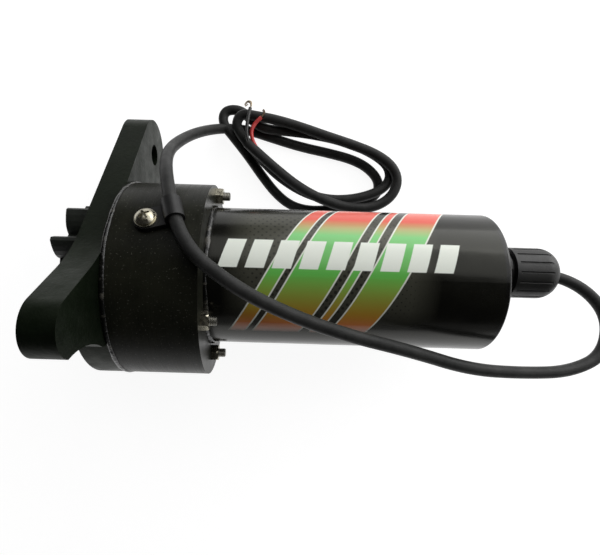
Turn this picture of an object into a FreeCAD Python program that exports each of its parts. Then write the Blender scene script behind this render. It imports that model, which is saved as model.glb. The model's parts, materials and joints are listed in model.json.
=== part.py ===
import FreeCAD, Part
import math
import os

from FreeCAD import Vector

# A sealed gear motor that drives a rotating drum: a lobed mounting plate, a round hub, a motor in a
# plastic tube, a cable gland and a loosely coiled power cable.
#
# Everything is modelled in the drive frame, in millimetres: X runs along the output axis from the
# mounting face (x = 0) towards the cable gland, Y points sideways to the upper ear, and Z points up.
# main() moves it all to the row frame: origin at the middle of the footprint, on the surface it lies on.

# ---------------------------------------------------------------- driving dimensions
TUBE_R = 31.5             # outside radius of a standard 63 mm pressure pipe
TUBE_WALL = 3.0
TUBE_END = 172.0          # where the tube stops and the cap's rim begins
SOCKET_DEPTH = 18.0       # how far the tube goes into the hub
WRAP = 0.3                # printed film round the tube

PLATE = 12.0              # mounting plate thickness
HUB_R = 44.3
HUB_LENGTH = 37.0
HUB_Y = -2.3              # the hub's round body sits off the output axis
EAR_Y, EAR_Z, EAR_R, EAR_HOLE_R = 62.4, -21.5, 17.7, 5.3
LOBE_Y, LOBE_Z, LOBE_R = -18.6, 63.5, 10.8
WAIST_Y, WAIST_Z, WAIST_R = 6.6, 42.1, 60.0
SCALLOP_Y, SCALLOP_Z, SCALLOP_R = -61.5, 52.5, 34.8

BOLT_CIRCLE = 37.5        # the four M4 clamp bolts
BOLT_ANGLES = (-90.0, -30.0, 90.0, 150.0)
M4_R, M4_NUT_AF, M4_NUT = 2.0, 7.0, 3.2

CAP_RIM = 2.5             # end cap: rim outside the tube, spigot inside it
GLAND_Y = 5.1             # the gland sits off the tube's axis
CABLE_R = 2.75

PINION_TEETH, PINION_MODULE, PINION_SHIFT = 10, 5.0, 0.3
PINION_FACE, PINION_GAP = 14.0, 1.0
SHAFT_R = 6.0

GEAR_MODULE = 0.8         # both planetary stages
SUN_TEETH, PLANET_TEETH, RING_TEETH = 12, 18, 48
GEARBOX_R = 22.5
GEAR_WIDTH = 6.5
PLANET_ORBIT = GEAR_MODULE * (SUN_TEETH + PLANET_TEETH) / 2
PIN_R = 1.5
MOTOR_R = 21.2
RUN = 0.05                # radial clearance of a running fit

CLIP_X, CLIP_ANGLE, CLIP_YAW = 27.8, 29.5, 18.0
CLIP_REACH, CLIP_WIDTH, CLIP_BAND = 10.8, 9.5, 1.1

COIL_HEIGHT = 13.0
COIL_OUTSIDE = (93.7, 66.0, 57.8, 27.4, -26.6, 0.3)   # middle x and y, half length, half width, tilt, fullness
COIL_INSIDE = (98.5, 61.5, 29.5, 8.4, -19.2, 0.14)

# ---------------------------------------------------------------- derived places along X
HUB_X0, HUB_X1 = PLATE, PLATE + HUB_LENGTH
TUBE_X0 = HUB_X1 - SOCKET_DEPTH
CAP_X1 = TUBE_END + CAP_RIM
FLOOR_Z = -HUB_R
BEARING_X0, BEARING_X1 = PLATE, PLATE + 8.0
RING_X0 = BEARING_X1
CARRIER = 3.0
STAGE_GAP = 0.5
OUT_CARRIER_X = RING_X0 + 1.0
SECOND_X = OUT_CARRIER_X + CARRIER + STAGE_GAP
MID_CARRIER_X = SECOND_X + GEAR_WIDTH + STAGE_GAP
FIRST_X = MID_CARRIER_X + CARRIER + STAGE_GAP
RING_X1 = FIRST_X + GEAR_WIDTH + 1.0
ADAPTER_X1 = RING_X1 + 4.0
MOTOR_X1 = ADAPTER_X1 + 62.0
BELL_X1 = MOTOR_X1 + 5.0
DOME_X0, DOME_X1 = CAP_X1 + 13.5, CAP_X1 + 36.4
DOME_R = 12.0
CABLE_X0 = DOME_X1 - 10.9   # where the cable's outer sheath starts, inside the gland


# ---------------------------------------------------------------- helpers
def polar(radius, angle):
    """Y and Z of a point round the output axis; the angle runs from up (+Z) towards +Y."""
    a = math.radians(angle)
    return radius * math.sin(a), radius * math.cos(a)


def cylinder(x0, x1, radius, y=0.0, z=0.0):
    return Part.makeCylinder(radius, x1 - x0, Vector(x0, y, z), Vector(1, 0, 0))


def ring(x0, x1, outer, inner, y=0.0, z=0.0):
    return cylinder(x0, x1, outer, y, z).cut(cylinder(x0 - 1, x1 + 1, inner, y, z))


def prism(points, x0, x1):
    """A polygon of (y, z) points, extruded along X."""
    loop = [Vector(x0, y, z) for y, z in points]
    return Part.Face(Part.makePolygon(loop + loop[:1])).extrude(Vector(x1 - x0, 0, 0))


def hexagon(x0, x1, across_flats, y=0.0, z=0.0, turn=0.0):
    corner = across_flats / math.sqrt(3)
    places = [polar(corner, turn + 60 * i) for i in range(6)]
    return prism([(y + py, z + pz) for py, pz in places], x0, x1)


def turned(shape, angle):
    """A copy turned about the output axis, from +Z towards +Y."""
    copy = shape.copy()
    copy.rotate(Vector(0, 0, 0), Vector(1, 0, 0), -angle)
    return copy


def group(shapes):
    return Part.makeCompound(list(shapes))


def fused(first, *others):
    return first.fuse(list(others)).removeSplitter()


def tangent_path(points, radii=None):
    """Straight runs joined by tangent arcs. Without radii, each arc takes 0.45 of its shorter run."""
    points = [Vector(*p) for p in points]
    edges, start, used = [], points[0], []
    for i in range(1, len(points) - 1):
        back, ahead = points[i - 1] - points[i], points[i + 1] - points[i]
        shorter = min(back.Length, ahead.Length)
        back.normalize()
        ahead.normalize()
        half_turn = (math.pi - back.getAngle(ahead)) / 2
        setback = radii[i] * math.tan(half_turn) if radii else 0.45 * shorter
        radius = setback / math.tan(half_turn)
        enter, leave = points[i] + back * setback, points[i] + ahead * setback
        inward = back + ahead
        inward.normalize()
        middle = points[i] + inward * (radius / math.cos(half_turn) - radius)
        edges.append(Part.LineSegment(start, enter).toShape())
        edges.append(Part.Arc(enter, middle, leave).toShape())
        start = leave
        used.append(radius)
    edges.append(Part.LineSegment(start, points[-1]).toShape())
    return Part.Wire(edges), used


def tube_along(points, radius, name):
    """A round tube along a tangent path, checked against its section times its length."""
    path, radii = tangent_path(points)
    direction = Vector(*points[1]) - Vector(*points[0])
    section = Part.Wire(Part.makeCircle(radius, Vector(*points[0]), direction))
    solid = path.makePipeShell([section], True, False)
    expected = math.pi * radius**2 * path.Length
    print(f"{name}: length {path.Length:.1f}, volume ratio {solid.Volume / expected:.4f}, "
          f"radii {[round(r, 1) for r in radii]}")
    return solid


# ---------------------------------------------------------------- gears
def flank_half_angle(radius, teeth, module, thinning, shift):
    """Half the angle that a 20 degree involute tooth covers at a radius."""
    pressure = math.radians(20)
    pitch = module * teeth / 2
    base = pitch * math.cos(pressure)
    at_pitch = math.pi / (2 * teeth) + 2 * shift * math.tan(pressure) / teeth - thinning / (2 * pitch)
    involute = math.tan(pressure) - pressure
    roll = math.acos(min(1.0, base / radius))
    return at_pitch + involute - (math.tan(roll) - roll)


def gear_outline(teeth, module, addendum, dedendum, thinning=0.1, shift=0.0, phase=0.0):
    """(y, z) points of a spur gear whose first tooth stands at the phase angle, in degrees."""
    pitch = module * teeth / 2
    root = pitch - (dedendum - shift) * module
    tip = pitch + (addendum + shift) * module
    steps = 5
    radii = [root + (tip - root) * i / steps for i in range(steps + 1)]
    points = []
    for tooth in range(teeth):
        middle = phase + 360.0 * tooth / teeth
        halves = [math.degrees(flank_half_angle(r, teeth, module, thinning, shift)) for r in radii]
        points += [polar(r, middle - half) for r, half in zip(radii, halves)]
        points += [polar(r, middle + half) for r, half in zip(reversed(radii), reversed(halves))]
    return points


def sun_gear(x0):
    points = gear_outline(SUN_TEETH, GEAR_MODULE, 0.9, 1.2)
    return prism(points, x0 + 0.2, x0 + GEAR_WIDTH - 0.2)


def planet_gear(x0, angle):
    """A planet at an orbit angle, with tooth gaps towards the sun and the ring."""
    points = gear_outline(PLANET_TEETH, GEAR_MODULE, 0.9, 1.2, phase=180.0 / PLANET_TEETH)
    gear = prism(points, x0, x0 + GEAR_WIDTH)
    gear = gear.cut(cylinder(x0 - 1, x0 + GEAR_WIDTH + 1, PIN_R + RUN))
    gear.translate(Vector(0, 0, PLANET_ORBIT))
    return turned(gear, angle)


def carrier_pins(carrier_x):
    far = carrier_x + CARRIER + STAGE_GAP + GEAR_WIDTH
    places = [polar(PLANET_ORBIT, 120 * i) for i in range(3)]
    return group(cylinder(carrier_x, far, PIN_R, y, z) for y, z in places)


def carrier_disc(carrier_x, hub_radius):
    disc = ring(carrier_x, carrier_x + CARRIER, 15.5, hub_radius)
    for i in range(3):
        y, z = polar(PLANET_ORBIT, 120 * i)
        disc = disc.cut(cylinder(carrier_x - 1, carrier_x + CARRIER + 1, PIN_R, y, z))
    return disc


# ---------------------------------------------------------------- mounting plate and hub
def bolt_places():
    return [polar(BOLT_CIRCLE, angle) for angle in BOLT_ANGLES]


def mounting_plate():
    """Round body with a large ear and a slim lobe, joined by a long edge with a gentle waist.

    The long edge also trims the round body, so the hub stands out past the plate there.
    """
    edge = math.radians(53.6)
    top_y = EAR_Y + EAR_R * math.cos(edge)
    top_z = EAR_Z + EAR_R * math.sin(edge)
    slope = math.radians(31.7)
    lobe_y = LOBE_Y + LOBE_R * math.cos(slope)
    lobe_z = LOBE_Z + LOBE_R * math.sin(slope)
    near_edge, _ = tangent_path(
        [(0, top_y, top_z), (0, WAIST_Y, WAIST_Z), (0, lobe_y, lobe_z)], [0, WAIST_R]
    )
    inside = [
        (0, lobe_y, lobe_z),
        (0, LOBE_Y, LOBE_Z),
        (0, LOBE_Y - LOBE_R, LOBE_Z),
        (0, LOBE_Y - LOBE_R, 20.0),
        (0, HUB_Y, -HUB_R),
        (0, EAR_Y, EAR_Z - EAR_R),
        (0, EAR_Y, EAR_Z),
        (0, top_y, top_z),
    ]
    rest = Part.makePolygon([Vector(*p) for p in inside])
    web = Part.Face(Part.Wire(near_edge.Edges + rest.Edges)).extrude(Vector(PLATE, 0, 0))
    far_corner = (0, EAR_Y + EAR_R, LOBE_Z + LOBE_R)
    outside = Part.makePolygon([Vector(0, lobe_y, lobe_z), Vector(*far_corner), Vector(0, top_y, top_z)])
    trim = Part.Face(Part.Wire(near_edge.Edges + outside.Edges)).extrude(Vector(PLATE, 0, 0))
    body = fused(
        web,
        cylinder(0, PLATE, HUB_R, HUB_Y).cut(trim),
        cylinder(0, PLATE, EAR_R, EAR_Y, EAR_Z),
        cylinder(0, PLATE, LOBE_R, LOBE_Y, LOBE_Z),
    )
    body = body.cut(cylinder(-1, PLATE + 1, SCALLOP_R, SCALLOP_Y, SCALLOP_Z))
    body = body.cut(cylinder(-1, PLATE + 1, EAR_HOLE_R, EAR_Y, EAR_Z))
    body = body.cut(cylinder(-1, PLATE + 1, 8.0))
    body = body.cut(cylinder(-1, 8.0, 13.0))
    for y, z in bolt_places():
        body = body.cut(cylinder(-1, PLATE + 1, M4_R, y, z))
        body = body.cut(cylinder(-1, 2.6, 4.0, y, z))
    for i in range(4):
        y, z = polar(17.5, 45 + 90 * i)
        body = body.cut(cylinder(-1, PLATE + 1, M4_R, y, z))
        body = body.cut(cylinder(-1, 4.0, 3.8, y, z))
    return body


def hub_housing():
    body = cylinder(HUB_X0, HUB_X1, HUB_R, HUB_Y)
    body = body.cut(cylinder(HUB_X0 - 1, HUB_X1 + 1, GEARBOX_R + 0.3))
    body = body.cut(cylinder(TUBE_X0, HUB_X1 + 1, TUBE_R))
    for y, z in bolt_places():
        body = body.cut(cylinder(HUB_X0 - 1, HUB_X1 + 1, M4_R, y, z))
    return body.cut(clip_frame(cylinder(-9.0, 1.0, 1.9)))


def clamp_bolts():
    """Cap screws from the mounting face, with their threaded ends standing out of the nuts."""
    bolts = []
    for y, z in bolt_places():
        shank = cylinder(2.6, HUB_X1 + M4_NUT + 3.2, M4_R, y, z)
        tip = shank.Edges[0] if shank.Edges[0].CenterOfMass.x > HUB_X1 else shank.Edges[-1]
        shank = shank.makeChamfer(0.4, [tip])
        bolts.append(fused(shank, cylinder(0.2, 2.6, 3.8, y, z)))
    return group(bolts)


def clamp_nuts():
    nuts = []
    for i, (y, z) in enumerate(bolt_places()):
        body = hexagon(HUB_X1, HUB_X1 + M4_NUT, M4_NUT_AF, y, z, 12 + 23 * i)
        corners = Part.makeCone(4.6, 3.6, M4_NUT + 0.4, Vector(HUB_X1, y, z), Vector(1, 0, 0))
        nuts.append(body.common(corners).cut(cylinder(HUB_X1 - 1, HUB_X1 + 5, M4_R, y, z)))
    return group(nuts)


def sealant_bead(x, major, minor, y=0.0):
    return Part.makeTorus(major, minor, Vector(x, y, 0), Vector(1, 0, 0))


def plate_sealant():
    """Bead round the joint of plate and hub, wiped away underneath, where the drive lies on its hub."""
    bead = sealant_bead(HUB_X0 + 0.6, HUB_R + 0.2, 1.0, HUB_Y)
    bead = bead.cut(cylinder(HUB_X0 - 2, HUB_X0 + 3, HUB_R, HUB_Y)).cut(cylinder(-5, PLATE, 60.0))
    reach = 80.0
    across = reach * math.tan(math.radians(15))
    wedge = [(HUB_Y, 0), (HUB_Y - across, -reach), (HUB_Y + across, -reach)]
    return bead.cut(prism(wedge, HUB_X0 - 5, HUB_X0 + 5))


def tube_sealant():
    bead = sealant_bead(HUB_X1 + 0.4, TUBE_R + WRAP + 0.2, 1.2)
    bead = bead.cut(cylinder(HUB_X1 - 4, HUB_X1 + 4, TUBE_R + WRAP))
    return bead.cut(cylinder(HUB_X1 - 5, HUB_X1, HUB_R + 5))


# ---------------------------------------------------------------- cable clip
def clip_frame(shape):
    """From the clip's frame (X outwards, Y back along the cable, Z to the loop) to the hub."""
    shape = shape.copy()
    shape.rotate(Vector(0, 0, 0), Vector(1, 0, 0), CLIP_YAW - 180)
    shape.rotate(Vector(0, 0, 0), Vector(0, 1, 0), -90)
    shape.rotate(Vector(0, 0, 0), Vector(1, 0, 0), -CLIP_ANGLE)
    y, z = polar(HUB_R, CLIP_ANGLE)
    shape.translate(Vector(CLIP_X, HUB_Y + y, z))
    return shape


def clip_vector(out, along, side):
    """A place in the clip's frame, as a drive frame point."""
    vertex = clip_frame(Part.Vertex(Vector(out, along, side)))
    return vertex.Point


def p_clip():
    outer = CABLE_R + RUN + CLIP_BAND
    half = CLIP_WIDTH / 2
    at = Vector(outer, -half, CLIP_REACH)
    loop = Part.makeCylinder(outer, CLIP_WIDTH, at, Vector(0, 1, 0))
    tab = Part.makeBox(2 * CLIP_BAND, CLIP_WIDTH, CLIP_REACH + half, Vector(0, -half, -half))
    rounding = Part.makeCylinder(half, 2 * CLIP_BAND, Vector(0, 0, 0), Vector(1, 0, 0))
    end = Part.makeBox(2 * CLIP_BAND, CLIP_WIDTH, half, Vector(0, -half, -half))
    body = fused(loop, tab.cut(end), rounding)
    body = body.cut(Part.makeCylinder(CABLE_R + RUN, CLIP_WIDTH + 2, at - Vector(0, 1, 0), Vector(0, 1, 0)))
    return clip_frame(body.cut(cylinder(-1, 9, M4_R + 0.2)))


def p_clip_screw():
    """Stainless pan head screw with a cross recess."""
    top = 2 * CLIP_BAND + 0.8
    head = Part.makeSphere(5.2, Vector(top - 2.7, 0, 0))
    head = head.common(cylinder(top, top + 4, 3.9))
    shank = cylinder(-9.0, top, 1.9)
    for turn in (20, 110):
        slot = Part.makeBox(2.0, 4.4, 0.9, Vector(top + 1.2, -2.2, -0.45))
        slot.rotate(Vector(0, 0, 0), Vector(1, 0, 0), turn)
        head = head.cut(slot)
    return clip_frame(fused(head, shank))


def p_clip_washer():
    return clip_frame(ring(2 * CLIP_BAND, 2 * CLIP_BAND + 0.8, 4.4, 2.0))


# ---------------------------------------------------------------- tube, cap and gland
def motor_tube():
    return ring(TUBE_X0, TUBE_END, TUBE_R, TUBE_R - TUBE_WALL)


def graphic_wrap():
    return ring(HUB_X1, TUBE_END, TUBE_R + WRAP, TUBE_R)


def tube_end_cap():
    rim = cylinder(TUBE_END, CAP_X1, TUBE_R + WRAP)
    edge = [e for e in rim.Edges if e.Length > 50 and abs(e.CenterOfMass.x - CAP_X1) < 0.01]
    rim = rim.makeFillet(1.2, edge)
    spigot = ring(TUBE_END - 12, TUBE_END, TUBE_R - TUBE_WALL, TUBE_R - TUBE_WALL - 3)
    return fused(rim, spigot).cut(cylinder(TUBE_END - 1, CAP_X1 + 1, 10.0, GLAND_Y))


def gland_body():
    """Threaded tail through the cap, hexagon, and the neck that the dome nut screws on."""
    x = CAP_X1 + 1.2
    hexagonal = hexagon(x, x + 9.5, 24.0, GLAND_Y, 0, 15).common(cylinder(x, x + 9.5, 12.9, GLAND_Y))
    tail = cylinder(CAP_X1 - 12.0, x, 10.0, GLAND_Y)
    neck = cylinder(x + 9.5, x + 19.0, 9.6, GLAND_Y)
    body = fused(tail, hexagonal, neck)
    return body.cut(cylinder(CAP_X1 - 20, x + 30, 6.2, GLAND_Y))


def gland_washer():
    return ring(CAP_X1, CAP_X1 + 1.2, 12.4, 10.0, GLAND_Y)


def gland_locknut():
    nut = hexagon(CAP_X1 - 9.0, CAP_X1 - CAP_RIM, 24.0, GLAND_Y)
    return nut.cut(cylinder(CAP_X1 - 20, CAP_X1, 10.0, GLAND_Y))


def gland_clamp_sleeve():
    return ring(DOME_X0 - 4.0, DOME_X1 - 5.0, 6.2, CABLE_R, GLAND_Y)


def gland_dome_nut():
    """Ribbed round nut with a domed nose."""
    straight = cylinder(DOME_X0, DOME_X1, DOME_R, GLAND_Y)
    nose = [e for e in straight.Edges if e.Length > 50 and abs(e.CenterOfMass.x - DOME_X1) < 0.01]
    nut = straight.makeFillet(8.4, nose)
    cavity = cylinder(DOME_X0 - 1, CAP_X1 + 20.2, 9.6, GLAND_Y)
    nut = nut.cut(cavity).cut(cylinder(DOME_X0, DOME_X1 + 1, 6.2, GLAND_Y).cut(
        cylinder(DOME_X1 - 5.0, DOME_X1 + 2, 20.0, GLAND_Y)))
    mouth = Part.makeCone(CABLE_R + 0.4, CABLE_R + 1.6, 8.0, Vector(DOME_X1 - 6, GLAND_Y, 0), Vector(1, 0, 0))
    nut = nut.cut(mouth)
    ribs = []
    for i in range(16):
        y, z = polar(DOME_R, 22.5 * i)
        ribs.append(cylinder(DOME_X0 + 1.5, DOME_X0 + 17.0, 0.55, GLAND_Y + y, z))
    return nut.cut(ribs)


# ---------------------------------------------------------------- gearbox, fixed pieces
def shaft_seal():
    return ring(1.0, 8.0, 13.0, SHAFT_R + RUN)


def gearbox_screws():
    screws = []
    for i in range(4):
        y, z = polar(17.5, 45 + 90 * i)
        screws.append(fused(cylinder(0.4, 4.0, 3.6, y, z), cylinder(4.0, 19.0, M4_R, y, z)))
    return group(screws)


def gearbox_front_flange():
    body = ring(BEARING_X0, BEARING_X1, GEARBOX_R, 14.0)
    for i in range(4):
        y, z = polar(17.5, 45 + 90 * i)
        body = body.cut(cylinder(BEARING_X0 - 1, 19.0, M4_R, y, z))
    return body


def output_bearing_race():
    race = ring(BEARING_X0, BEARING_X1, 14.0, 11.6)
    return race.cut(Part.makeTorus(10.0, 2.4, Vector(BEARING_X0 + 4, 0, 0), Vector(1, 0, 0)))


def output_bearing_balls():
    places = [polar(10.0, 45 * i) for i in range(8)]
    return group(Part.makeSphere(2.3, Vector(BEARING_X0 + 4, y, z)) for y, z in places)


def ring_gear():
    body = cylinder(RING_X0, RING_X1, GEARBOX_R)
    gap = gear_outline(RING_TEETH, GEAR_MODULE, 1.25, 0.8, -0.1, 0, 180.0 / RING_TEETH)
    return body.cut(prism(gap, RING_X0 - 1, RING_X1 + 1))


def adapter_places():
    return [polar(12.5, 90), polar(12.5, -90)]


def motor_adapter():
    body = ring(RING_X1, ADAPTER_X1, GEARBOX_R, 6.5)
    for y, z in adapter_places():
        body = body.cut(cylinder(RING_X1 - 1, ADAPTER_X1 + 1, 1.5, y, z))
        body = body.cut(cylinder(RING_X1 - 1, RING_X1 + 1.6, 2.8, y, z))
    return body


def adapter_screws():
    return group(
        fused(cylinder(RING_X1 + 0.1, RING_X1 + 1.6, 2.7, y, z),
              cylinder(RING_X1 + 1.6, ADAPTER_X1 + 2.0, 1.5, y, z))
        for y, z in adapter_places()
    )


# ---------------------------------------------------------------- motor, fixed pieces
def motor_can():
    body = cylinder(ADAPTER_X1, MOTOR_X1, MOTOR_R)
    body = body.cut(cylinder(ADAPTER_X1 + 2.0, MOTOR_X1 + 1, MOTOR_R - 1.6))
    body = body.cut(cylinder(ADAPTER_X1 - 1, ADAPTER_X1 + 3, 5.0))
    for y, z in adapter_places():
        body = body.cut(cylinder(ADAPTER_X1 - 1, ADAPTER_X1 + 3, 1.5, y, z))
    return body


def motor_magnets():
    outer = MOTOR_R - 1.6
    shell = ring(ADAPTER_X1 + 8, ADAPTER_X1 + 46, outer, outer - 3.2)
    half = Part.makeBox(80, 80, 9, Vector(ADAPTER_X1, -40, -4.5))
    return group(shell.cut(half).Solids)


def motor_bushings():
    return group([
        ring(ADAPTER_X1 - 2.0, ADAPTER_X1 + 3.0, 5.0, 2.5 + RUN),
        ring(MOTOR_X1 - 1.0, BELL_X1 - 1.0, 4.0, 2.5 + RUN),
    ])


def motor_end_bell():
    body = cylinder(MOTOR_X1, BELL_X1, MOTOR_R)
    body = fused(body, ring(MOTOR_X1 - 8, MOTOR_X1, MOTOR_R - 1.6, MOTOR_R - 4.0))
    body = body.cut(cylinder(MOTOR_X1 - 9, BELL_X1 - 1.0, 4.0))
    body = body.cut(cylinder(MOTOR_X1 - 9, BELL_X1 + 1, 3.0))
    for side in (-1, 1):
        body = body.cut(terminal(side))
    return body


def terminal(side):
    return Part.makeBox(12.0, 0.8, 4.8, Vector(BELL_X1 - 4.0, side * 13.0 - 0.4, -2.4))


def motor_terminals():
    return group(terminal(side) for side in (-1, 1))


def motor_brushes():
    """Two carbon brushes on the commutator, in the end bell's rim."""
    inner, outer = 6.3, MOTOR_R - 4.5
    places = [Vector(MOTOR_X1 - 7.0, y, -3.0) for y in (inner, -outer)]
    return group(Part.makeBox(5.0, outer - inner, 6.0, place) for place in places)


LEAD_R = 1.1


def motor_leads():
    """The two leads from the terminals into the gland's bore."""
    leads = []
    for side in (-1, 1):
        points = [
            (BELL_X1 + 8.1, side * 13.0, 0.0),
            (BELL_X1 + 18.0, side * 12.0, 0.0),
            (BELL_X1 + 28.0, GLAND_Y + side * 3.5, 0.0),
            (CAP_X1 - 11.0, GLAND_Y + side * 1.3, 0.0),
            (CABLE_X0, GLAND_Y + side * 1.25, 0.0),
        ]
        leads.append(tube_along(points, LEAD_R, "motor_lead"))
    return group(leads)


# ---------------------------------------------------------------- output body
def output_shaft():
    shaft = cylinder(-PINION_GAP - PINION_FACE, OUT_CARRIER_X + CARRIER, SHAFT_R)
    shaft = shaft.cut(keyway())
    return shaft.cut(cylinder(-40, -PINION_GAP - PINION_FACE + 10, 2.5))


def keyway():
    return Part.makeBox(PINION_FACE, 4.0, 2.5, Vector(-PINION_GAP - PINION_FACE, -2.0, SHAFT_R - 2.5))


def pinion_key():
    x = -PINION_GAP - PINION_FACE
    return Part.makeBox(PINION_FACE, 4.0, 4.0, Vector(x, -2.0, SHAFT_R - 2.5))


def output_inner_race():
    race = ring(BEARING_X0, BEARING_X1, 8.4, SHAFT_R)
    return race.cut(Part.makeTorus(10.0, 2.4, Vector(BEARING_X0 + 4, 0, 0), Vector(1, 0, 0)))


def drive_pinion():
    x0, x1 = -PINION_GAP - PINION_FACE, -PINION_GAP
    tip_phase = 60.0
    points = gear_outline(PINION_TEETH, PINION_MODULE, 1.0, 1.1, 0.3, PINION_SHIFT, tip_phase)
    body = prism(points, x0, x1).cut(cylinder(x0 - 1, x1 + 1, SHAFT_R))
    return body.cut(pinion_key())


def pinion_screw():
    x = -PINION_GAP - PINION_FACE
    head = fused(cylinder(x - 2.0, x, 8.0), cylinder(x - 5.0, x - 2.0, 4.4), cylinder(x, x + 10, 2.5))
    return head.cut(hexagon(x - 6.0, x - 2.4, 4.0))


# ---------------------------------------------------------------- rotor body
ROTOR_CORE_R = 15.4


def rotor_shaft():
    return cylinder(FIRST_X + 0.2, BELL_X1 + 2.0, 2.5)


def motor_sun():
    return sun_gear(FIRST_X).cut(cylinder(FIRST_X - 1, FIRST_X + GEAR_WIDTH + 1, 2.5))


def armature_core():
    x0, x1 = ADAPTER_X1 + 11, ADAPTER_X1 + 41
    core = ring(x0, x1, ROTOR_CORE_R, 2.5)
    for i in range(5):
        y, z = polar(ROTOR_CORE_R - 3.4, 72 * i)
        slot = cylinder(x0 - 1, x1 + 1, 3.2, y, z)
        mouth = Part.makeBox(x1 - x0 + 2, 2.0, 6.0, Vector(x0 - 1, -1.0, ROTOR_CORE_R - 3.4))
        core = core.cut([slot, turned(mouth, 72 * i)])
    return core


def armature_windings():
    x0, x1 = ADAPTER_X1 + 6, ADAPTER_X1 + 46
    coils = []
    for i in range(5):
        y, z = polar(ROTOR_CORE_R - 3.4, 72 * i)
        coils.append(cylinder(x0 + 1, x1 - 1, 3.0, y, z))
    return group(coils)


def commutator():
    x0 = ADAPTER_X1 + 48
    drum = ring(x0, MOTOR_X1 - 1.5, 6.2, 2.5)
    for i in range(5):
        gap = Part.makeBox(20, 0.5, 3.0, Vector(x0 + 1.5, -0.25, 5.2))
        drum = drum.cut(turned(gap, 36 + 72 * i))
    return drum


# ---------------------------------------------------------------- power cable
SHEATH_END = (60.3, 72.7, -28.4)
CORE_R = 0.95
STRAND_R = 0.5


def cable_route():
    """From the gland, out in a loop, over the tube, through the clip and down to the coil."""
    loop = [
        (CABLE_X0, GLAND_Y, 0.0),
        (217.3, 4.8, 0.2),
        (236.8, -11.4, 2.2),
        (233.9, -32.0, 5.0),
        (214.9, -39.8, 9.0),
        (189.7, -39.8, 15.0),
        (162.7, -37.5, 22.0),
        (134.9, -29.1, 30.0),
        (105.3, -22.0, 37.0),
        (80.4, -13.2, 43.0),
        (60.7, -3.1, 47.0),
    ]
    centre = CABLE_R + RUN + CLIP_BAND
    clip = [tuple(clip_vector(centre, along, CLIP_REACH)) for along in (16.0, -16.0)]
    drop = [
        (27.7, 53.2, 14.0),
        (28.2, 64.0, -3.0),
        (33.4, 74.4, -20.0),
        (41.5, 81.8, -34.0),
        (53.6, 84.8, -41.2),
        (67.0, 82.4, -41.4),
    ]
    return loop + clip + drop


def power_cable():
    return tube_along(cable_route(), CABLE_R, "power_cable")


def egg(middle_x, middle_y, half_length, half_width, tilt, fullness, height, z):
    """An egg-shaped slab; fullness widens its +X end and narrows the other."""
    places = []
    for i in range(24):
        a = 2 * math.pi * i / 24
        across = half_width * math.sin(a) * (1 + fullness * math.cos(a))
        places.append(Vector(half_length * math.cos(a), across, 0))
    outline = Part.BSplineCurve()
    outline.interpolate(places, PeriodicFlag=True)
    slab = Part.Face(Part.Wire(outline.toShape())).extrude(Vector(0, 0, height))
    slab.rotate(Vector(0, 0, 0), Vector(0, 0, 1), tilt)
    slab.translate(Vector(middle_x, middle_y, z))
    return slab


def cable_coil():
    """Closed ring round the loosely coiled turns, flat on the surface."""
    outside = egg(*COIL_OUTSIDE, COIL_HEIGHT, FLOOR_Z)
    return outside.cut(egg(*COIL_INSIDE, COIL_HEIGHT + 2, FLOOR_Z - 1))


def cable_tail():
    """The last stretch of the cable, on top of the coil, up to where the sheath is stripped."""
    points = [(88.7, 50.4, -33.0), (75.5, 59.6, -29.2), SHEATH_END]
    return tube_along(points, CABLE_R, "cable_tail")


def core_start(side):
    """Where a core starts, a little way inside the sheath and beside the cable's middle."""
    x, y, z = SHEATH_END
    return (x + 12.9 + 0.7 * side, y - 11.1 + 0.7 * side, z - 0.7)


def red_core():
    route = [core_start(1.2), (62.6, 75.0, -28.0), (62.9, 82.3, -27.6), (67.9, 86.6, -27.6)]
    return tube_along(route, CORE_R, "red_core")


def black_core():
    route = [core_start(-1.2), (60.2, 74.6, -28.0), (60.0, 84.0, -27.6), (61.7, 91.8, -27.8)]
    return tube_along(route, CORE_R, "black_core")


def copper_tips():
    red = [(67.9, 86.6, -27.6), (69.6, 88.2, -27.7), (68.6, 90.6, -27.9)]
    black = [(61.7, 91.8, -27.8), (62.2, 94.0, -27.9), (60.2, 95.2, -28.0), (58.2, 93.8, -28.1)]
    return group([tube_along(red, STRAND_R, "red tip"), tube_along(black, STRAND_R, "black tip")])


# ---------------------------------------------------------------- build and write
def second_stage_sun():
    body = sun_gear(SECOND_X)
    return fused(body, cylinder(SECOND_X + 0.2, MID_CARRIER_X + CARRIER, 3.0))


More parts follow.
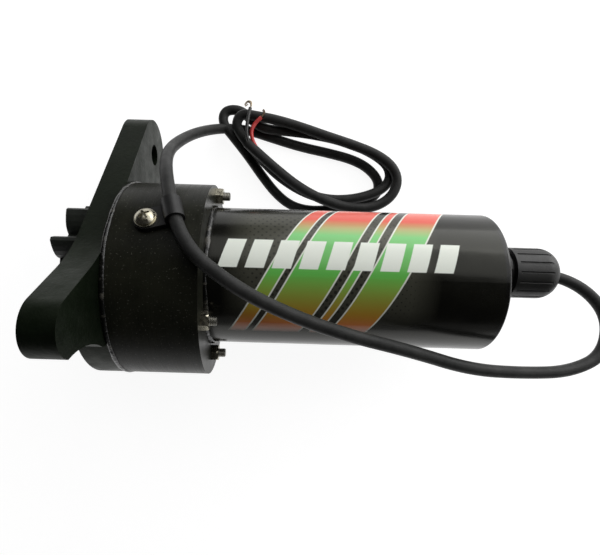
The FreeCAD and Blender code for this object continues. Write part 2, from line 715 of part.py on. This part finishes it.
NODES = {
    "mounting_plate": mounting_plate,
    "hub_housing": hub_housing,
    "plate_sealant": plate_sealant,
    "tube_sealant": tube_sealant,
    "clamp_bolts": clamp_bolts,
    "clamp_nuts": clamp_nuts,
    "p_clip": p_clip,
    "p_clip_screw": p_clip_screw,
    "p_clip_washer": p_clip_washer,
    "motor_tube": motor_tube,
    "graphic_wrap": graphic_wrap,
    "tube_end_cap": tube_end_cap,
    "gland_body": gland_body,
    "gland_washer": gland_washer,
    "gland_locknut": gland_locknut,
    "gland_clamp_sleeve": gland_clamp_sleeve,
    "gland_dome_nut": gland_dome_nut,
    "shaft_seal": shaft_seal,
    "gearbox_screws": gearbox_screws,
    "gearbox_front_flange": gearbox_front_flange,
    "output_bearing_race": output_bearing_race,
    "output_bearing_balls": output_bearing_balls,
    "ring_gear": ring_gear,
    "motor_adapter": motor_adapter,
    "adapter_screws": adapter_screws,
    "motor_can": motor_can,
    "motor_magnets": motor_magnets,
    "motor_bushings": motor_bushings,
    "motor_end_bell": motor_end_bell,
    "motor_terminals": motor_terminals,
    "motor_brushes": motor_brushes,
    "motor_leads": motor_leads,
    "output_shaft": output_shaft,
    "pinion_key": pinion_key,
    "output_inner_race": output_inner_race,
    "drive_pinion": drive_pinion,
    "pinion_screw": pinion_screw,
    "output_carrier": lambda: carrier_disc(OUT_CARRIER_X, SHAFT_R),
    "output_carrier_pins": lambda: carrier_pins(OUT_CARRIER_X),
    "first_carrier": lambda: carrier_disc(MID_CARRIER_X, 3.0),
    "first_carrier_pins": lambda: carrier_pins(MID_CARRIER_X),
    "second_stage_sun": second_stage_sun,
    "motor_sun": motor_sun,
    "rotor_shaft": rotor_shaft,
    "armature_core": armature_core,
    "armature_windings": armature_windings,
    "commutator": commutator,
    "power_cable": power_cable,
    "cable_coil": cable_coil,
    "cable_tail": cable_tail,
    "red_core": red_core,
    "black_core": black_core,
    "copper_tips": copper_tips,
}
for number in range(3):
    NODES[f"first_planet_{number + 1}"] = lambda n=number: planet_gear(FIRST_X, 120 * n)
    NODES[f"second_planet_{number + 1}"] = lambda n=number: planet_gear(SECOND_X, 120 * n)

CORD_NODES = ("power_cable", "cable_coil", "cable_tail", "red_core", "black_core", "copper_tips")


def main():
    os.makedirs("parts", exist_ok=True)
    shapes = {name: build() for name, build in NODES.items()}
    drive = Part.makeCompound([s for n, s in shapes.items() if n not in CORD_NODES])
    box = drive.optimalBoundingBox()
    origin = Vector(box.Center.x, box.Center.y, FLOOR_Z)
    print("row origin in the drive frame:", [round(v, 3) for v in origin])
    for name, shape in shapes.items():
        if not shape.isValid():
            print("INVALID", name)
        shape.translate(-origin)
        shape.exportStep(f"parts/{name}.step")
    print(len(shapes), "nodes")


main()
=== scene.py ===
import json
import math

import bmesh
import bpy
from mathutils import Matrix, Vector, noise


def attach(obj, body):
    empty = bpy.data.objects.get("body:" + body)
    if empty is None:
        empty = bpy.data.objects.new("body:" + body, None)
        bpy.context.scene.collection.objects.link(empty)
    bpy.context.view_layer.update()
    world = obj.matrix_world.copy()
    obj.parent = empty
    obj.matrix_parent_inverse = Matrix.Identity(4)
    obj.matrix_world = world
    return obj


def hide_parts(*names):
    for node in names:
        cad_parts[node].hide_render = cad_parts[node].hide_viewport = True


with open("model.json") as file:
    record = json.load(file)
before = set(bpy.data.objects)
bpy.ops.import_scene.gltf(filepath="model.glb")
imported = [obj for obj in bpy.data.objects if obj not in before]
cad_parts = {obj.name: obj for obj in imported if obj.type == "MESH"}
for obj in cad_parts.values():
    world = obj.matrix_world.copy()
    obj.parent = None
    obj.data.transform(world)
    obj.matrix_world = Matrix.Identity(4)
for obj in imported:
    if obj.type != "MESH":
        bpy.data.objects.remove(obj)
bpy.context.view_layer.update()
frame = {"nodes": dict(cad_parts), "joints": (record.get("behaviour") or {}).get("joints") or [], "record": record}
nodes = frame["nodes"]

# The drive frame's origin lies on the output axis, at the mounting face. Its axes are the row's.
DRIVE = Vector(next(j for j in frame["joints"] if j["name"] == "output_spin")["pos_m"])


def row(x, y, z):
    """A point of the drive frame, in millimetres, as a point of the row frame in metres."""
    return DRIVE + Vector((x, y, z)) / 1000


# ---------------------------------------------------------------- camera and light
PICTURE_WIDTH = 600
FOCAL = 418.0                         # focal length in picture widths of 1 / 600
SENSOR = 36.0
CENTRE_X, CENTRE_Y = 275.8, 276.5     # where the optical axis meets the picture, from its upper left corner
PICTURE_MIDDLE = (300.0, 277.5)

camera = bpy.data.objects.new("camera", bpy.data.cameras.new("camera"))
bpy.context.collection.objects.link(camera)
camera.location = row(78.4, -0.14, 201.0)
camera.rotation_euler = (0.0, 0.0, 0.03)
camera.data.sensor_width = SENSOR
camera.data.lens = SENSOR * FOCAL / PICTURE_WIDTH
camera.data.shift_x = (PICTURE_MIDDLE[0] - CENTRE_X) / PICTURE_WIDTH
camera.data.shift_y = (CENTRE_Y - PICTURE_MIDDLE[1]) / PICTURE_WIDTH
camera.data.clip_start = 0.01
bpy.context.scene.camera = camera


def softbox(name, place, target, size, power):
    lamp = bpy.data.lights.new(name, "AREA")
    lamp.shape = "RECTANGLE"
    lamp.size, lamp.size_y = size
    lamp.energy = power
    lamp_object = bpy.data.objects.new(name, lamp)
    bpy.context.collection.objects.link(lamp_object)
    lamp_object.location = row(*place)
    aim = row(*target) - lamp_object.location
    lamp_object.rotation_euler = aim.to_track_quat("-Z", "Y").to_euler()


softbox("back_softbox", (560, 640, 200), (120, 10, 0), (1.1, 0.62), 6.6)
softbox("upper_softbox", (300, 420, 560), (100, 10, 0), (1.1, 0.5), 2.3)
softbox("right_softbox", (640, 120, 240), (40, 10, 0), (0.6, 0.5), 0.9)
softbox("front_softbox", (60, -640, 120), (80, 0, 0), (1.3, 0.2), 0.15)

world = bpy.data.worlds.new("studio")
bpy.context.scene.world = world
world.use_nodes = True
world.node_tree.nodes["Background"].inputs["Color"].default_value = (1.0, 1.0, 1.0, 1.0)
world.node_tree.nodes["Background"].inputs["Strength"].default_value = 0.03
bpy.context.scene.view_settings.view_transform = "Standard"


# ---------------------------------------------------------------- material helpers
class Shader:
    """A node material that is built up step by step."""

    def __init__(self, name):
        self.material = bpy.data.materials.new(name)
        self.material.use_nodes = True
        self.tree = self.material.node_tree
        self.bsdf = self.tree.nodes["Principled BSDF"]

    def node(self, kind, **inputs):
        made = self.tree.nodes.new(kind)
        for socket, value in inputs.items():
            self.feed(made.inputs[socket.replace("_", " ")], value)
        return made

    def feed(self, socket, value):
        if isinstance(value, bpy.types.NodeSocket):
            self.tree.links.new(value, socket)
        else:
            socket.default_value = value

    def set(self, socket, value):
        self.feed(self.bsdf.inputs[socket], value)

    def maths(self, operation, first, second=0.0, clamp=False):
        made = self.tree.nodes.new("ShaderNodeMath")
        made.operation = operation
        made.use_clamp = clamp
        self.feed(made.inputs[0], first)
        self.feed(made.inputs[1], second)
        return made.outputs[0]

    def place(self, stretch=(1, 1, 1)):
        """Object coordinates in metres, times stretch."""
        coordinates = self.node("ShaderNodeTexCoord").outputs["Object"]
        return self.node("ShaderNodeMapping", Vector=coordinates, Scale=stretch).outputs[0]

    def noise(self, scale, stretch=(1, 1, 1), detail=4.0, roughness=0.6):
        made = self.node("ShaderNodeTexNoise", Vector=self.place(stretch), Scale=scale,
                         Detail=detail, Roughness=roughness)
        return made.outputs["Fac"]

    def ramp(self, factor, stops, constant=False):
        made = self.node("ShaderNodeValToRGB", Fac=factor)
        made.color_ramp.interpolation = "CONSTANT" if constant else "LINEAR"
        elements = made.color_ramp.elements
        while len(elements) < len(stops):
            elements.new(0.5)
        for element, (position, colour) in zip(elements, stops):
            element.position = position
            element.color = (*colour, 1.0)
        return made.outputs["Color"]

    def mix(self, factor, first, second):
        made = self.tree.nodes.new("ShaderNodeMix")
        made.data_type = "RGBA"
        self.feed(made.inputs[0], factor)
        for socket, value in ((made.inputs[6], first), (made.inputs[7], second)):
            self.feed(socket, value if isinstance(value, bpy.types.NodeSocket) else (*value, 1.0))
        return made.outputs[2]

    def bump(self, height, distance, strength=1.0, base=None):
        made = self.node("ShaderNodeBump", Height=height, Distance=distance, Strength=strength)
        if base is not None:
            self.feed(made.inputs["Normal"], base)
        return made.outputs["Normal"]

    def band(self, value, low, high, soft=0.15):
        """1 where low < value < high, with soft edges."""
        rise = self.maths("DIVIDE", self.maths("SUBTRACT", value, low - soft), 2 * soft, clamp=True)
        fall = self.maths("DIVIDE", self.maths("SUBTRACT", high + soft, value), 2 * soft, clamp=True)
        return self.maths("MULTIPLY", rise, fall)


def plain_surface(name, dark, light, rough, grain=900.0, depth=0.00004, stretch=(1, 1, 1), metal=0.0,
                  coat=0.0, patch=60.0, shine=0.5):
    """Mottled colour, uneven roughness and a fine grain: a base for most parts."""
    s = Shader(name)
    patches = s.noise(patch, detail=8.0, roughness=0.65)
    fine = s.noise(grain, stretch, detail=3.0)
    blend = s.maths("ADD", s.maths("MULTIPLY", patches, 0.7), s.maths("MULTIPLY", fine, 0.3))
    s.set("Base Color", s.ramp(blend, [(0.36, dark), (0.64, light)]))
    uneven = s.noise(patch * 2.3, stretch, detail=6.0)
    spread = s.ramp(uneven, [(0.3, (rough[0],) * 3), (0.7, (rough[1],) * 3)])
    s.set("Roughness", spread)
    s.set("Metallic", metal)
    s.set("Specular IOR Level", shine)
    s.set("Coat Weight", coat)
    s.set("Coat Roughness", 0.12)
    s.set("Normal", s.bump(fine, depth))
    return s


# ---------------------------------------------------------------- materials
def plate_plastic():
    s = plain_surface("plate_plastic", (0.0015, 0.0028, 0.0012), (0.0042, 0.0068, 0.0034), (0.36, 0.56),
                      grain=700.0, depth=0.00009, shine=0.15)
    s.set("Specular Tint", (0.86, 1.0, 0.74, 1.0))
    return s.material


def hub_plastic():
    """Turned plastic: fine rings round the axis, patches and specks of dust."""
    s = Shader("hub_plastic")
    rings = s.noise(1.0, (2600, 14, 14), detail=5.0, roughness=0.7)
    patches = s.noise(70.0, detail=8.0)
    specks = s.noise(1500.0, detail=1.0)
    base = s.ramp(patches, [(0.35, (0.006, 0.0066, 0.0045)), (0.68, (0.015, 0.0155, 0.010))])
    streaks = s.mix(s.maths("MULTIPLY", rings, 0.35), base, (0.018, 0.018, 0.013))
    dust = s.band(specks, 0.71, 2.0, 0.02)
    s.set("Base Color", s.mix(s.maths("MULTIPLY", dust, 0.5), streaks, (0.12, 0.12, 0.10)))
    s.set("Roughness", s.ramp(rings, [(0.3, (0.24,) * 3), (0.7, (0.44,) * 3)]))
    s.set("Specular IOR Level", 0.09)
    s.set("Normal", s.bump(rings, 0.00006))
    return s.material


def sealant():
    """Glossy black sealant with pale streaks painted into its colour as highlights on the gloss."""
    s = plain_surface("sealant", (0.003, 0.003, 0.003), (0.012, 0.012, 0.010), (0.08, 0.3), grain=420.0,
                      depth=0.0004, patch=150.0)
    # pale streaks painted into the base colour: painted highlights on the glossy sealant
    painted_sheen_streaks = s.band(s.noise(260.0, (0.5, 1, 1), detail=6.0), 0.60, 2.0, 0.06)
    s.set("Base Color", s.mix(s.maths("MULTIPLY", painted_sheen_streaks, 0.8), (0.004, 0.004, 0.0035), (0.07, 0.066, 0.055)))
    return s.material


def stainless():
    s = plain_surface("stainless", (0.30, 0.28, 0.21), (0.56, 0.53, 0.43), (0.16, 0.38), grain=1400.0,
                      depth=0.00003, metal=1.0, patch=300.0)
    return s.material


def threads():
    """Stainless thread ends: the 0.7 mm pitch shows as ridges along the bolt."""
    s = plain_surface("threads", (0.10, 0.10, 0.09), (0.34, 0.33, 0.30), (0.25, 0.45), metal=1.0)
    pitch = 0.0007
    wave = s.node("ShaderNodeTexWave", Vector=s.place(), Scale=2 * math.pi / 20 / pitch)
    wave.bands_direction = "X"
    s.set("Normal", s.bump(wave.outputs["Fac"], 0.0004))
    return s.material


def nylon(name, dark, light):
    s = plain_surface(name, dark, light, (0.36, 0.52), grain=1100.0, depth=0.00006, shine=0.35)
    return s.material


def cable_sheath():
    s = plain_surface("cable_sheath", (0.020, 0.0205, 0.020), (0.036, 0.036, 0.035), (0.36, 0.52),
                      grain=800.0, depth=0.00005, patch=110.0, shine=0.12)
    return s.material


def insulation(name, dark, light):
    s = plain_surface(name, dark, light, (0.28, 0.42), grain=900.0, depth=0.00004, patch=220.0)
    return s.material


def metal(name, dark, light, rough=(0.2, 0.42)):
    return plain_surface(name, dark, light, rough, grain=1200.0, metal=1.0, patch=140.0).material


def tube_plastic():
    s = plain_surface("tube_plastic", (0.003, 0.003, 0.0025), (0.008, 0.008, 0.006), (0.16, 0.30), shine=0.35)
    return s.material


FILM_R = 31.8
STRIPES = ((74.0, 80.0), (84.0, 103.0), (108.0, 111.0), (116.0, 131.0))    # along the tube, millimetres
DOT_PITCH = 3.4
BLOCK_PITCH, BLOCKS_START, BLOCKS_END = 11.0, 52.0, 151.0


def printed_film():
    """Gloss black film with a plain printed pattern: slanted colour stripes, halftone dots, white blocks."""
    s = Shader("printed_film")
    place = s.node("ShaderNodeSeparateXYZ", Vector=s.node("ShaderNodeTexCoord").outputs["Object"])
    x, y, z = (s.maths("MULTIPLY", s.maths("SUBTRACT", axis, start), 1000.0)
               for axis, start in zip(place.outputs, DRIVE))
    round_it = s.maths("MULTIPLY", s.maths("ARCTAN2", y, z), FILM_R)    # millimetres round the tube

    smudge = s.noise(45.0, detail=6.0)
    black = s.ramp(smudge, [(0.35, (0.002, 0.002, 0.0015)), (0.7, (0.005, 0.005, 0.0035))])
    side = s.band(round_it, -24.0, 44.0, 3.0)

    # a halftone field of dots whose size fades towards the field's edge
    turns = 2 * math.pi / DOT_PITCH
    wave_x = s.maths("SINE", s.maths("MULTIPLY", x, turns))
    wave_y = s.maths("SINE", s.maths("MULTIPLY", round_it, turns))
    cell = s.maths("MULTIPLY", wave_x, wave_y)
    fade = s.maths("MULTIPLY", s.maths("ABSOLUTE", s.maths("SUBTRACT", x, 96.0)), 0.017)
    dots = s.band(s.maths("SUBTRACT", cell, fade), 0.25, 2.0, 0.06)
    field = s.maths("MULTIPLY", s.band(round_it, -18.0, 34.0, 5.0), s.band(x, 62.0, 140.0, 6.0))
    tone = s.mix(s.maths("MULTIPLY", field, 0.55), black, (0.085, 0.085, 0.065))
    tone = s.mix(s.maths("MULTIPLY", s.maths("MULTIPLY", dots, field), 0.8), tone, (0.014, 0.014, 0.012))

    # slanted stripes in a green, yellow and red gradient, each with a white edge
    slant = s.maths("ADD", x, s.maths("MULTIPLY", round_it, -0.55))
    position = s.maths("DIVIDE", s.maths("ADD", round_it, 30.0), 74.0, clamp=True)
    colour = s.ramp(position, [(0.04, (0.62, 0.07, 0.03)), (0.20, (0.42, 0.24, 0.03)),
                               (0.42, (0.12, 0.46, 0.08)), (0.66, (0.20, 0.60, 0.20)),
                               (0.80, (0.72, 0.10, 0.07)), (0.95, (0.78, 0.14, 0.10))])
    for low, high in STRIPES:
        edge = s.maths("MULTIPLY", s.band(slant, low - 0.7, high + 0.7), side)
        stripe = s.maths("MULTIPLY", s.band(slant, low, high), side)
        tone = s.mix(edge, tone, (0.74, 0.76, 0.68))
        tone = s.mix(stripe, tone, colour)

    # a row of plain slanted white blocks
    lean = s.maths("ADD", x, s.maths("MULTIPLY", round_it, -0.3))
    along = s.maths("MODULO", s.maths("ADD", lean, 300.0 * BLOCK_PITCH - BLOCKS_START), BLOCK_PITCH)
    block = s.maths("MULTIPLY", s.band(along, 1.6, 9.4), s.band(round_it, 3.2, 15.6))
    block = s.maths("MULTIPLY", block, s.band(lean, BLOCKS_START, BLOCKS_END))
    tone = s.mix(block, tone, (0.84, 0.88, 0.80))

    s.set("Base Color", tone)
    s.set("Roughness", s.ramp(smudge, [(0.3, (0.16,) * 3), (0.75, (0.30,) * 3)]))
    s.set("Specular IOR Level", 0.3)
    s.set("Specular Tint", (1.0, 1.0, 0.90, 1.0))
    s.set("Coat Weight", 0.05)
    s.set("Coat Roughness", 0.06)
    s.set("Normal", s.bump(s.noise(120.0, (0.4, 1, 1), detail=2.0), 0.00006))
    return s.material


def pale_floor():
    s = plain_surface("pale_floor", (0.24, 0.24, 0.24), (0.28, 0.28, 0.28), (0.7, 0.85), grain=60.0,
                      depth=0.00001, patch=3.0)
    s.set("Emission Color", (1.0, 1.0, 1.0, 1.0))
    s.set("Emission Strength", 0.92)
    s.set("Specular IOR Level", 0.1)
    return s.material


SLOTS = {
    "plate_plastic": plate_plastic(),
    "hub_plastic": hub_plastic(),
    "sealant": sealant(),
    "stainless": stainless(),
    "clip_nylon": nylon("clip_nylon", (0.003, 0.003, 0.003), (0.008, 0.008, 0.008)),
    "tube_plastic": tube_plastic(),
    "printed_film": printed_film(),
    "gland_nylon": nylon("gland_nylon", (0.006, 0.006, 0.0057), (0.014, 0.014, 0.013)),
    "seal_rubber": nylon("seal_rubber", (0.008, 0.008, 0.008), (0.018, 0.018, 0.018)),
    "zinc_steel": metal("zinc_steel", (0.42, 0.42, 0.40), (0.66, 0.66, 0.62)),
    "gearbox_steel": metal("gearbox_steel", (0.26, 0.26, 0.26), (0.48, 0.48, 0.47)),
    "bearing_steel": metal("bearing_steel", (0.48, 0.48, 0.48), (0.72, 0.72, 0.72), (0.1, 0.25)),
    "motor_steel": metal("motor_steel", (0.34, 0.34, 0.33), (0.56, 0.56, 0.54)),
    "ferrite": nylon("ferrite", (0.02, 0.02, 0.021), (0.05, 0.05, 0.05)),
    "bronze": metal("bronze", (0.34, 0.22, 0.09), (0.56, 0.40, 0.18)),
    "bell_plastic": nylon("bell_plastic", (0.012, 0.012, 0.012), (0.03, 0.03, 0.03)),
    "copper": metal("copper", (0.36, 0.16, 0.08), (0.62, 0.32, 0.18)),
    "pinion_plastic": nylon("pinion_plastic", (0.010, 0.012, 0.010), (0.030, 0.034, 0.028)),
    "gear_steel": metal("gear_steel", (0.22, 0.22, 0.22), (0.40, 0.40, 0.40)),
    "cable_sheath": cable_sheath(),
    "red_insulation": insulation("red_insulation", (0.42, 0.02, 0.02), (0.66, 0.07, 0.06)),
    "black_insulation": insulation("black_insulation", (0.02, 0.02, 0.02), (0.06, 0.06, 0.058)),
}
slot_of = {part["node"]: part["material_slot"] for part in frame["record"]["subparts"]}
for name, thing in nodes.items():
    thing.data.materials.clear()
    thing.data.materials.append(SLOTS[slot_of[name]])
THREADS = threads()
nodes["clamp_bolts"].data.materials[0] = THREADS


# ---------------------------------------------------------------- piece helpers
def piece(name, data, slot, *replaced, body="housing", finish=None):
    made = bpy.data.objects.new(name, data)
    bpy.context.collection.objects.link(made)
    data.materials.append(finish or SLOTS[slot])
    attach(made, body)
    if replaced:
        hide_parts(*replaced)
    return made


def cord_curve(name, points, radius):
    """A round cord along one smooth spline with these control points, in drive frame millimetres."""
    curve = bpy.data.curves.new(name, "CURVE")
    curve.dimensions = "3D"
    curve.bevel_depth = radius / 1000
    curve.bevel_resolution = 6
    curve.resolution_u = 10
    curve.use_fill_caps = True
    spline = curve.splines.new("NURBS")
    spline.points.add(len(points) - 1)
    for i, place in enumerate(points):
        spline.points[i].co = (*row(*place), 1.0)
    spline.order_u = 3
    spline.use_endpoint_u = True
    return curve


# ---------------------------------------------------------------- sealant
def bead(name, x, middle_y, radius, thickness, gap, replaced):
    """A bead laid by hand round a joint, of wandering width, with some degrees (the gap) free underneath."""
    steps, sides = 240, 12
    shape = bmesh.new()
    sections = []
    for i in range(steps + 1):
        angle = math.radians(-90 + gap / 2 + (360 - gap) * i / steps)
        across, up = math.cos(angle), math.sin(angle)
        place = Vector((across, up, 0.1 * x))
        swell = 1.0 + 0.5 * noise.noise(place * 3.1) + 0.3 * noise.noise(place * 11.0)
        drift = 0.7 * noise.noise(place * 2.3 + Vector((4.0, 0.0, 0.0)))
        section = []
        for k in range(sides):
            turn = 2 * math.pi * k / sides
            reach = radius + 0.7 * thickness * swell * math.cos(turn)
            along = x + drift + 1.2 * thickness * swell * math.sin(turn)
            section.append(shape.verts.new(row(along, middle_y + reach * across, reach * up)))
        sections.append(section)
    for first, second in zip(sections, sections[1:]):
        for k in range(sides):
            after = (k + 1) % sides
            shape.faces.new((first[k], first[after], second[after], second[k]))
    for section in (sections[0], sections[-1]):
        shape.faces.new(section)
    bmesh.ops.recalc_face_normals(shape, faces=shape.faces)
    mesh = bpy.data.meshes.new(name)
    shape.to_mesh(mesh)
    shape.free()
    mesh.polygons.foreach_set("use_smooth", [True] * len(mesh.polygons))
    return piece(name, mesh, "sealant", replaced)


HUB_Y, HUB_R, HUB_END = -2.3, 44.3, 49.0
PLATE = 12.0
bead("plate_joint_bead", PLATE + 1.0, HUB_Y, HUB_R, 0.75, 32.0, "plate_sealant")
bead("tube_joint_bead", HUB_END + 0.4, 0.0, FILM_R + 0.1, 1.2, 0.5, "tube_sealant")

# ---------------------------------------------------------------- power cable
CABLE_R = 2.75
LOOP = [
    (200.0, 5.1, 0.0), (217.3, 4.8, 0.2), (236.8, -11.4, 2.2), (233.9, -32.0, 5.0),
    (214.9, -39.8, 9.0), (189.7, -39.8, 15.0), (162.7, -37.5, 22.0), (134.9, -29.1, 30.0),
    (105.3, -22.0, 37.0), (80.4, -13.2, 43.0), (60.7, -3.1, 47.0), (43.0, 11.05, 47.9),
    (33.2, 37.5, 32.9), (27.7, 53.2, 14.0), (28.2, 64.0, -3.0), (33.4, 74.4, -20.0),
    (41.5, 81.8, -34.0),
]
FIRST_TURN = [
    (52.0, 84.9, -41.4), (60.9, 83.9, -41.5), (72.6, 80.4, -41.5), (90.2, 75.4, -41.5),
    (107.7, 72.1, -41.5), (120.6, 69.0, -41.5), (130.0, 64.4, -41.5), (136.6, 57.0, -41.5),
    (135.7, 48.3, -41.5), (124.8, 42.8, -41.5), (111.6, 39.8, -41.5), (97.1, 38.4, -41.5),
    (86.0, 41.0, -41.5), (77.1, 47.7, -41.3), (68.7, 57.7, -40.7), (60.9, 68.2, -39.7),
]
SECOND_TURN = [
    (53.0, 77.5, -38.2), (45.3, 86.4, -38.2), (46.2, 93.9, -38.2), (55.1, 94.6, -37.8),
    (62.2, 88.2, -37.0), (69.2, 83.3, -36.5), (81.7, 83.0, -37.5), (95.5, 82.0, -38.4),
    (110.0, 79.7, -38.8), (123.3, 75.9, -38.9), (134.3, 70.6, -38.6), (141.2, 64.3, -37.8),
    (141.7, 56.1, -36.7), (135.4, 49.5, -35.9), (121.5, 44.9, -36.4), (105.6, 44.2, -36.7),
    (90.7, 48.8, -36.6), (76.2, 58.0, -36.1), (65.1, 69.3, -35.1),
]
THIRD_TURN = [
    (57.6, 77.1, -34.0), (53.3, 84.0, -33.0), (56.3, 90.0, -31.7), (64.7, 88.7, -31.3),
    (76.5, 87.1, -32.0), (90.5, 83.4, -32.3), (104.1, 79.2, -32.7), (117.7, 75.2, -32.8),
    (131.7, 70.2, -32.4), (141.2, 63.6, -31.7), (145.1, 55.0, -31.7), (141.3, 45.5, -32.1),
    (130.9, 39.4, -32.2), (116.3, 39.2, -31.8), (101.6, 43.6, -31.1), (88.6, 50.3, -30.5),
    (76.2, 59.5, -29.6), (66.6, 67.3, -28.8), (60.3, 72.7, -28.4),
]
cable = piece("cable_run", cord_curve("cable_run", LOOP + FIRST_TURN + SECOND_TURN + THIRD_TURN, CABLE_R),
              "cable_sheath", "power_cable", "cable_coil", "cable_tail")

CORE_R = 0.95
RED_ROUTE = [(73.6, 62.0, -29.1), (67.4, 67.6, -28.7), (62.6, 75.0, -28.0), (62.9, 82.3, -27.6),
             (67.9, 86.6, -27.6)]
BLACK_ROUTE = [(71.2, 61.2, -29.1), (65.0, 66.6, -28.6), (60.2, 74.6, -28.0), (60.0, 84.0, -27.6),
               (61.7, 91.8, -27.8)]


def strands(name, points, count, spread):
    """Fine bare wires that fan out a little from the end of a core."""
    wires = bpy.data.curves.new(name, "CURVE")
    wires.dimensions = "3D"
    wires.bevel_depth = 0.00016
    wires.bevel_resolution = 3
    for i in range(count):
        angle = 2 * math.pi * i / count
        spline = wires.splines.new("NURBS")
        spline.points.add(len(points) - 1)
        for k, (x, y, z) in enumerate(points):
            away = 0.32 + spread * k / (len(points) - 1) * (0.6 + 0.4 * math.sin(3.1 * i + k))
            spline.points[k].co = (*row(x + away * math.cos(angle), y + away * math.sin(angle + 0.4 * k),
                                        z + 0.5 * away * math.sin(angle)), 1.0)
        spline.order_u = 3
        spline.use_endpoint_u = True
    return wires


RED_TIP = [(67.6, 86.3, -27.6), (69.2, 88.4, -27.7), (69.6, 89.8, -27.8), (68.6, 90.9, -27.9)]
BLACK_TIP = [(61.6, 91.4, -27.8), (62.3, 93.6, -27.9), (61.6, 95.3, -28.0), (59.6, 95.3, -28.1),
             (58.8, 93.9, -28.2), (60.0, 93.2, -28.2)]
dull_copper = metal("dull_copper", (0.10, 0.07, 0.05), (0.24, 0.17, 0.11), (0.3, 0.5))
bare_copper = metal("bare_copper", (0.22, 0.17, 0.12), (0.50, 0.42, 0.31), (0.25, 0.45))
red_wires = piece("red_core_wires", strands("red_core_wires", RED_TIP, 5, 0.15), "copper", "copper_tips",
                  finish=dull_copper)
black_wires = piece("black_core_wires", strands("black_core_wires", BLACK_TIP, 7, 0.5), "copper",
                    finish=bare_copper)
red = piece("red_lead", cord_curve("red_lead", RED_ROUTE, CORE_R + 0.1), "red_insulation", "red_core")
black = piece("black_lead", cord_curve("black_lead", BLACK_ROUTE, CORE_R), "black_insulation", "black_core")


# ---------------------------------------------------------------- floor
floor_mesh = bpy.data.meshes.new("floor")
shape = bmesh.new()
bmesh.ops.create_grid(shape, x_segments=2, y_segments=2, size=2.0)
shape.to_mesh(floor_mesh)
shape.free()
floor = bpy.data.objects.new("floor", floor_mesh)
bpy.context.collection.objects.link(floor)
floor_mesh.materials.append(pale_floor())
